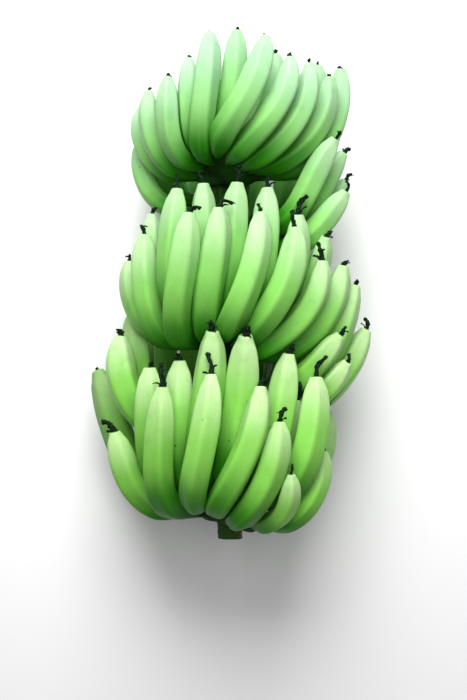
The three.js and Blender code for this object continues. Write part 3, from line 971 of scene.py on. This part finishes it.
def ramp(tree, factor, stops, interpolation="EASE"):
    """A colour ramp's colour output. Each stop is a place and a colour."""
    made = node(tree, "ShaderNodeValToRGB", {"Fac": factor})
    made.color_ramp.interpolation = interpolation
    elements = made.color_ramp.elements
    while len(elements) < len(stops):
        elements.new(0.5)
    for element, (place, colour) in zip(elements, stops):
        element.position = place
        element.color = (*colour[:3], 1)
    return made.outputs["Color"]


def mixed(tree, factor, first, second, blend="MIX"):
    """The colour output of a mix of two colours."""
    made = node(tree, "ShaderNodeMix", data_type="RGBA", blend_type=blend)
    for index, value in ((0, factor), (6, first), (7, second)):
        if isinstance(value, bpy.types.NodeSocket):
            tree.links.new(value, made.inputs[index])
        else:
            made.inputs[index].default_value = value if index == 0 else (*value[:3], 1)
    return made.outputs[2]


def maths(tree, operation, first, second=0.0, third=0.0, clamp=False):
    """The output of a Math node."""
    inputs = {0: first, 1: second, 2: third}
    return node(tree, "ShaderNodeMath", inputs, operation=operation, use_clamp=clamp).outputs[0]


def grain(tree, vector, name):
    """A noise pattern's value, between 0 and 1. Some are stretched by scaling their coordinates."""
    scale, detail, roughness = GRAINS[name]
    if name in STRETCHES:
        inputs = {"Vector": vector, "Scale": STRETCHES[name]}
        vector = node(tree, "ShaderNodeMapping", inputs).outputs[0]
    inputs = {"Vector": vector, "Scale": scale, "Detail": detail, "Roughness": roughness}
    return node(tree, "ShaderNodeTexNoise", inputs).outputs[0]


def tint(tree, factor, name):
    """How much a tint shows: nothing up to one value of the factor, and its full strength from another."""
    low, high, strength = TINTS[name]
    return ramp(tree, factor, [(low, (0, 0, 0)), (high, (strength,) * 3)])


def within(tree, value, name):
    """A value from 0 to 1, spread over a named range."""
    low, high = RANGES[name]
    return maths(tree, "MULTIPLY_ADD", value, high - low, low)


def graded(tree, factor, colours, stops):
    """The settings' colours one after another along a factor."""
    return ramp(tree, factor, [(place, getattr(colours, name)) for name, place in stops.items()])


def object_place(tree):
    """The Object coordinates."""
    return node(tree, "ShaderNodeTexCoord").outputs["Object"]


def values_of(tree, name, output="Fac"):
    """A point attribute's output."""
    return node(tree, "ShaderNodeAttribute", attribute_name=name).outputs[output]


def new_material(name):
    """A material with its finish, its node tree and its shader."""
    roughness, specular = FINISHES[name]
    material = bpy.data.materials.new(name)
    material.use_nodes = True
    shader = material.node_tree.nodes["Principled BSDF"]
    shader.inputs["Roughness"].default_value = roughness
    shader.inputs["Specular IOR Level"].default_value = specular
    return material, material.node_tree, shader


def bumped(tree, shader, height, name):
    """Joins a height to the shader's normal as a named bump."""
    strength, depth = BUMPS[name]
    inputs = {"Height": height, "Strength": strength, "Distance": depth}
    tree.links.new(node(tree, "ShaderNodeBump", inputs).outputs[0], shader.inputs["Normal"])


def speck_mask(tree, peel):
    """1 inside the peel's small round specks, which a few cells of a Voronoi pattern hold, in many sizes."""
    cells = node(tree, "ShaderNodeTexVoronoi", {"Vector": peel, "Scale": SPECKS["scale"], "Randomness": 1})
    chance = node(tree, "ShaderNodeSeparateColor", {"Color": cells.outputs["Color"]})
    chosen = maths(tree, "GREATER_THAN", chance.outputs["Red"], SPECKS["chosen"])
    size = within(tree, chance.outputs["Green"], "speck")
    inside = maths(tree, "LESS_THAN", cells.outputs["Distance"], size)
    return maths(tree, "MULTIPLY", chosen, inside)


def peel_material(colours):
    """Waxy green peel: dark at the stem, partly as painted shade, pale at the tip, and darkened low on the
    bunch's back as painted shade. It is streaked along the finger, and has ridges with a painted highlight on
    their crests, specks, and a bloom on the upper hands that is partly painted light."""
    material, tree, shader = new_material("green peel")
    peel = values_of(tree, "peel", "Vector")
    along = values_of(tree, "along")
    place = maths(tree, "ADD", along, within(tree, grain(tree, peel, "drift"), "drift"))
    # Dark towards the stem: partly the peel's own colour and partly painted shade.
    colour = graded(tree, place, colours, PEEL_STOPS)
    where = node(tree, "ShaderNodeSeparateXYZ", {0: object_place(tree)}).outputs
    # Partly a waxy bloom and partly painted light: paler on the upper hands.
    upper = maths(tree, "MULTIPLY_ADD", where["Y"], BLOOM_AND_PAINTED_LIGHT_RISE["slope"], BLOOM_AND_PAINTED_LIGHT_RISE["start"], clamp=True)
    bloom = maths(tree, "MULTIPLY", upper, tint(tree, place, "bloom"))
    colour = mixed(tree, bloom, colour, colours.bloom)
    streak = grain(tree, peel, "streak")
    pale = maths(tree, "MULTIPLY", tint(tree, streak, "streak"), place)
    colour = mixed(tree, pale, colour, colours.streak)
    colour = mixed(tree, tint(tree, grain(tree, peel, "cloud"), "cloud"), colour, colours.root)
    # Painted highlight along the ridges' crests.
    ridge = maths(tree, "MULTIPLY", values_of(tree, "ridge"), PAINTED_RIDGE_HIGHLIGHT)
    colour = mixed(tree, ridge, colour, colours.ridge)
    tone = maths(tree, "MULTIPLY_ADD", values_of(tree, "tone"), 0.5, 0.5)
    colour = mixed(tree, 1, colour, ramp(tree, tone, TONE_SHADES, "LINEAR"), "MULTIPLY")
    # Painted shade: the peel is darkened low on the bunch's back, where the hollows are.
    colour = mixed(tree, 1, colour, ramp(tree, where["Z"], PAINTED_SHADE_LOW_ON_BACK), "MULTIPLY")
    speck = maths(tree, "MULTIPLY", speck_mask(tree, peel), SPECKS["strength"])
    colour = mixed(tree, speck, colour, colours.speck)
    ragged = maths(tree, "ADD", along, within(tree, streak, "dry end"))
    colour = mixed(tree, tint(tree, ragged, "dry end"), colour, colours.withered)
    tree.links.new(colour, shader.inputs["Base Color"])
    gloss = within(tree, grain(tree, peel, "gloss"), "gloss")
    tree.links.new(gloss, shader.inputs["Roughness"])
    for name, value in SUBSURFACE.items():
        shader.inputs[name].default_value = value
    pores = maths(tree, "MULTIPLY", grain(tree, peel, "pores"), PORE_DEPTH)
    bumped(tree, shader, maths(tree, "ADD", streak, pores), "peel")
    return material


def crown_material(colours):
    """Crown and stems: stem green darkened to near black as painted shade, fibrous, with brown marks where it
    was rubbed.
    """
    material, tree, shader = new_material("crown green")
    place = object_place(tree)
    # Painted shade: the crown's colour is near black, and its stem green is darkened too.
    colour = mixed(tree, tint(tree, grain(tree, place, "crown"), "crown"), colours.crown, colours.stem)
    marks = grain(tree, place, "rubbed")
    colour = mixed(tree, tint(tree, marks, "rubbed"), colour, colours.scar)
    tree.links.new(colour, shader.inputs["Base Color"])
    bumped(tree, shader, marks, "crown")
    return material


def withered_material(colours):
    """Dry, blackened flower: dark green to black, matt and crinkled."""
    material, tree, shader = new_material("withered flower")
    place = object_place(tree)
    colour = graded(tree, grain(tree, place, "withered"), colours, WITHERED_STOPS)
    tree.links.new(colour, shader.inputs["Base Color"])
    bumped(tree, shader, grain(tree, place, "crinkle"), "withered")
    return material


def stalk_material(colours):
    """Fibrous green stalk, darkened partly as painted shade, with brown scars, and pale cut ends with darker
    vessels.
    """
    material, tree, shader = new_material("stalk")
    place = object_place(tree)
    fibre = grain(tree, place, "fibre")
    # The bark's dark colours are partly painted shade.
    bark = graded(tree, fibre, colours, BARK_STOPS)
    bark = mixed(tree, tint(tree, grain(tree, place, "blotch"), "blotch"), bark, colours.scar)
    vessels = node(tree, "ShaderNodeTexVoronoi", {"Vector": place, "Scale": VESSEL_SCALE})
    pith = graded(tree, vessels.outputs["Distance"], colours, PITH_STOPS)
    pith = mixed(tree, tint(tree, values_of(tree, "middle"), "rim"), pith, colours.stalk)
    colour = mixed(tree, values_of(tree, "cut"), bark, pith)
    tree.links.new(colour, shader.inputs["Base Color"])
    bumped(tree, shader, fibre, "stalk")
    return material


def floor_material():
    """Plain white floor."""
    material, _, shader = new_material("pale floor")
    shader.inputs["Base Color"].default_value = FLOOR_COLOUR
    return material


# What a user can change.


def colour_property(name, description, default):
    """A colour with its name, meaning and default."""
    words = {"name": name, "description": description}
    return FloatVectorProperty(**words, subtype="COLOR", min=0, max=1, default=default)


def power_property(name, description, default):
    """A light's power, in watts."""
    return FloatProperty(name=name, description=description, default=default, min=0, unit="POWER")


class BunchSizes(PropertyGroup):
    """How finely the bunch is made."""

    rings: IntProperty(name="Rings", description="Rings along one finger", default=60, min=16, max=90)
    sides: IntProperty(name="Sides", description="Points round one finger", default=40, min=10, max=60)
    voxel: FloatProperty(name="Crown grid", description="In millimetres", default=2.2, min=1, max=6)


class BunchColours(PropertyGroup):
    """The colours of the bunch, as linear values."""

    # The stem and lower peel are darkened partly as painted shade.
    stem: colour_property("Stem", "Stem end of a finger", (0.01, 0.08, 0.002))
    root: colour_property("Lower peel", "Peel near the stem", (0.026, 0.23, 0.003))
    belly: colour_property("Belly", "Peel on the middle of a finger", (0.25, 0.62, 0.098))
    tip: colour_property("Tip", "Peel near the tip", (0.48, 0.7, 0.33))
    # The bloom is partly a waxy bloom and partly painted light on the upper hands.
    bloom: colour_property("Bloom", "Waxy bloom on the upper hands", (0.31, 0.52, 0.39))
    streak: colour_property("Streaks", "Pale streaks along a finger", (0.3, 0.62, 0.17))
    # The pale ridge crest is a painted highlight.
    ridge: colour_property("Ridges", "Crest of a ridge", (0.28, 0.58, 0.13))
    speck: colour_property("Specks", "Small dark specks", (0.035, 0.05, 0.012))
    withered: colour_property("Withered", "Dry flower", (0.003, 0.006, 0.003))
    withered_green: colour_property("Withered green", "Dry flower that is still green", (0.008, 0.03, 0.012))
    # The crown's near-black is painted shade; a real crown is green.
    crown: colour_property("Crown", "Crown between the stems", (0.004, 0.02, 0.002))
    # The stalk's dark green is partly painted shade.
    stalk: colour_property("Stalk", "Stalk between its fibres", (0.03, 0.075, 0.01))
    scar: colour_property("Scars", "Dry scars", (0.11, 0.075, 0.03))
    pith: colour_property("Cut face", "Cut ends of the stalk", (0.55, 0.56, 0.3))


class StageSettings(PropertyGroup):
    """The light round the bunch."""

    key_power: power_property("Key light", "Light from the upper end", 60)
    top_power: power_property("Top light", "Light from above", 17)
    sky: FloatProperty(name="Sky", description="Even light from all round", default=0.13, min=0, max=3)


# Operators.

# The floor's half side, and how far the lights stand off from the bunch's middle, in metres.
FLOOR_HALF = 6
KEY_LIGHT = {"shift": (-0.08, 1.3, 1.3), "size": 1.3}
TOP_LIGHT = {"shift": (0, 0, 2.2), "size": 1.6}


def size_settings():
    """The bunch's size settings."""
    return bpy.context.scene.banana_sizes


def colour_settings():
    """The bunch's colour settings."""
    return bpy.context.scene.banana_colours


def add_light(name, target, shift, size, power):
    """Adds a square area light that stands off from its target and faces it."""
    light = bpy.data.lights.new(name, "AREA")
    light.shape = "SQUARE"
    light.size = size
    light.energy = power
    lamp = bpy.data.objects.new(name, light)
    lamp.location = [place + step for place, step in zip(target, shift)]
    lamp.rotation_euler = (target - lamp.location).to_track_quat("-Z", "Y").to_euler()
    bpy.context.scene.collection.objects.link(lamp)


class BANANA_OT_stage(Operator):
    """Adds the floor, the light and the camera"""

    bl_idname = "banana.stage"
    bl_label = "Add stage"

    def execute(self, context):
        settings = context.scene.banana_stage
        mesh = bpy.data.meshes.new("floor")
        corners = [(FLOOR_HALF * x, FLOOR_HALF * y, 0) for x, y in ((-1, -1), (1, -1), (1, 1), (-1, 1))]
        mesh.from_pydata(corners, [], [(0, 1, 2, 3)])
        mesh.materials.append(floor_material())
        floor = bpy.data.objects.new("floor", mesh)
        context.scene.collection.objects.link(floor)
        centre = (CAD_BOX[0] + CAD_BOX[1]) / 2
        add_light("key", centre, power=settings.key_power, **KEY_LIGHT)
        add_light("top", centre, power=settings.top_power, **TOP_LIGHT)
        world = bpy.data.worlds.new("studio")
        world.use_nodes = True
        world.node_tree.nodes["Background"].inputs["Color"].default_value = (1, 1, 1, 1)
        world.node_tree.nodes["Background"].inputs["Strength"].default_value = settings.sky
        context.scene.world = world
        context.scene.view_settings.view_transform = "Standard"
        lens = bpy.data.cameras.new("camera")
        lens.sensor_width = CAMERA["sensor"]
        lens.lens = CAMERA["focal_px"] / CAMERA["frame_px"] * CAMERA["sensor"]
        camera = bpy.data.objects.new("camera", lens)
        camera.location = to_frame([CAMERA["x"], CAMERA["y"], CAMERA["height"]])
        context.scene.collection.objects.link(camera)
        context.scene.camera = camera
        return {"FINISHED"}


class BANANA_OT_fruit(Operator):
    """Adds the fingers of every hand"""

    bl_idname = "banana.fruit"
    bl_label = "Add fruit"

    def execute(self, context):
        sizes = size_settings()
        material = peel_material(colour_settings())
        for h in range(len(HANDS)):
            build_fruit(h, sizes.rings, sizes.sides, material)
        return {"FINISHED"}


class BANANA_OT_crowns(Operator):
    """Adds the crown of every hand"""

    bl_idname = "banana.crowns"
    bl_label = "Add crowns"

    def execute(self, context):
        material = crown_material(colour_settings())
        for h in range(len(HANDS)):
            build_crown(h, size_settings().voxel, material)
        return {"FINISHED"}


class BANANA_OT_flower_ends(Operator):
    """Adds the withered flower ends of every hand"""

    bl_idname = "banana.flower_ends"
    bl_label = "Add flower ends"

    def execute(self, context):
        material = withered_material(colour_settings())
        for h in range(len(HANDS)):
            build_flower_ends(h, material)
        return {"FINISHED"}


class BANANA_OT_stalk(Operator):
    """Adds the stalk"""

    bl_idname = "banana.stalk"
    bl_label = "Add stalk"

    def execute(self, context):
        build_stalk(stalk_material(colour_settings()))
        return {"FINISHED"}


class BANANA_PT_bunch(Panel):
    """Lists the bunch's settings and steps"""

    bl_idname = "BANANA_PT_bunch"
    bl_label = "Banana bunch"
    bl_space_type = "VIEW_3D"
    bl_region_type = "UI"
    bl_category = "Banana bunch"

    def draw(self, context):
        layout = self.layout
        for settings in (getattr(context.scene, name) for name in GROUPS):
            box = layout.box()
            for name in settings.__annotations__:
                box.prop(settings, name)
        for step in STEPS:
            layout.operator(step.bl_idname)


GROUPS = {"banana_sizes": BunchSizes, "banana_colours": BunchColours, "banana_stage": StageSettings}
STEPS = (BANANA_OT_stage, BANANA_OT_fruit, BANANA_OT_crowns, BANANA_OT_flower_ends, BANANA_OT_stalk)


def register():
    """Registers the settings, the steps and the panel."""
    for name, group in GROUPS.items():
        bpy.utils.register_class(group)
        setattr(bpy.types.Scene, name, PointerProperty(type=group))
    for step in (*STEPS, BANANA_PT_bunch):
        bpy.utils.register_class(step)


def unregister():
    """Removes what register added."""
    for step in reversed((*STEPS, BANANA_PT_bunch)):
        bpy.utils.unregister_class(step)
    for name, group in GROUPS.items():
        delattr(bpy.types.Scene, name)
        bpy.utils.unregister_class(group)


def main():
    """Builds the whole scene in order."""
    register()
    bpy.ops.banana.stage()
    bpy.ops.banana.fruit()
    bpy.ops.banana.crowns()
    bpy.ops.banana.flower_ends()
    bpy.ops.banana.stalk()


if __name__ == "__main__":
    main()
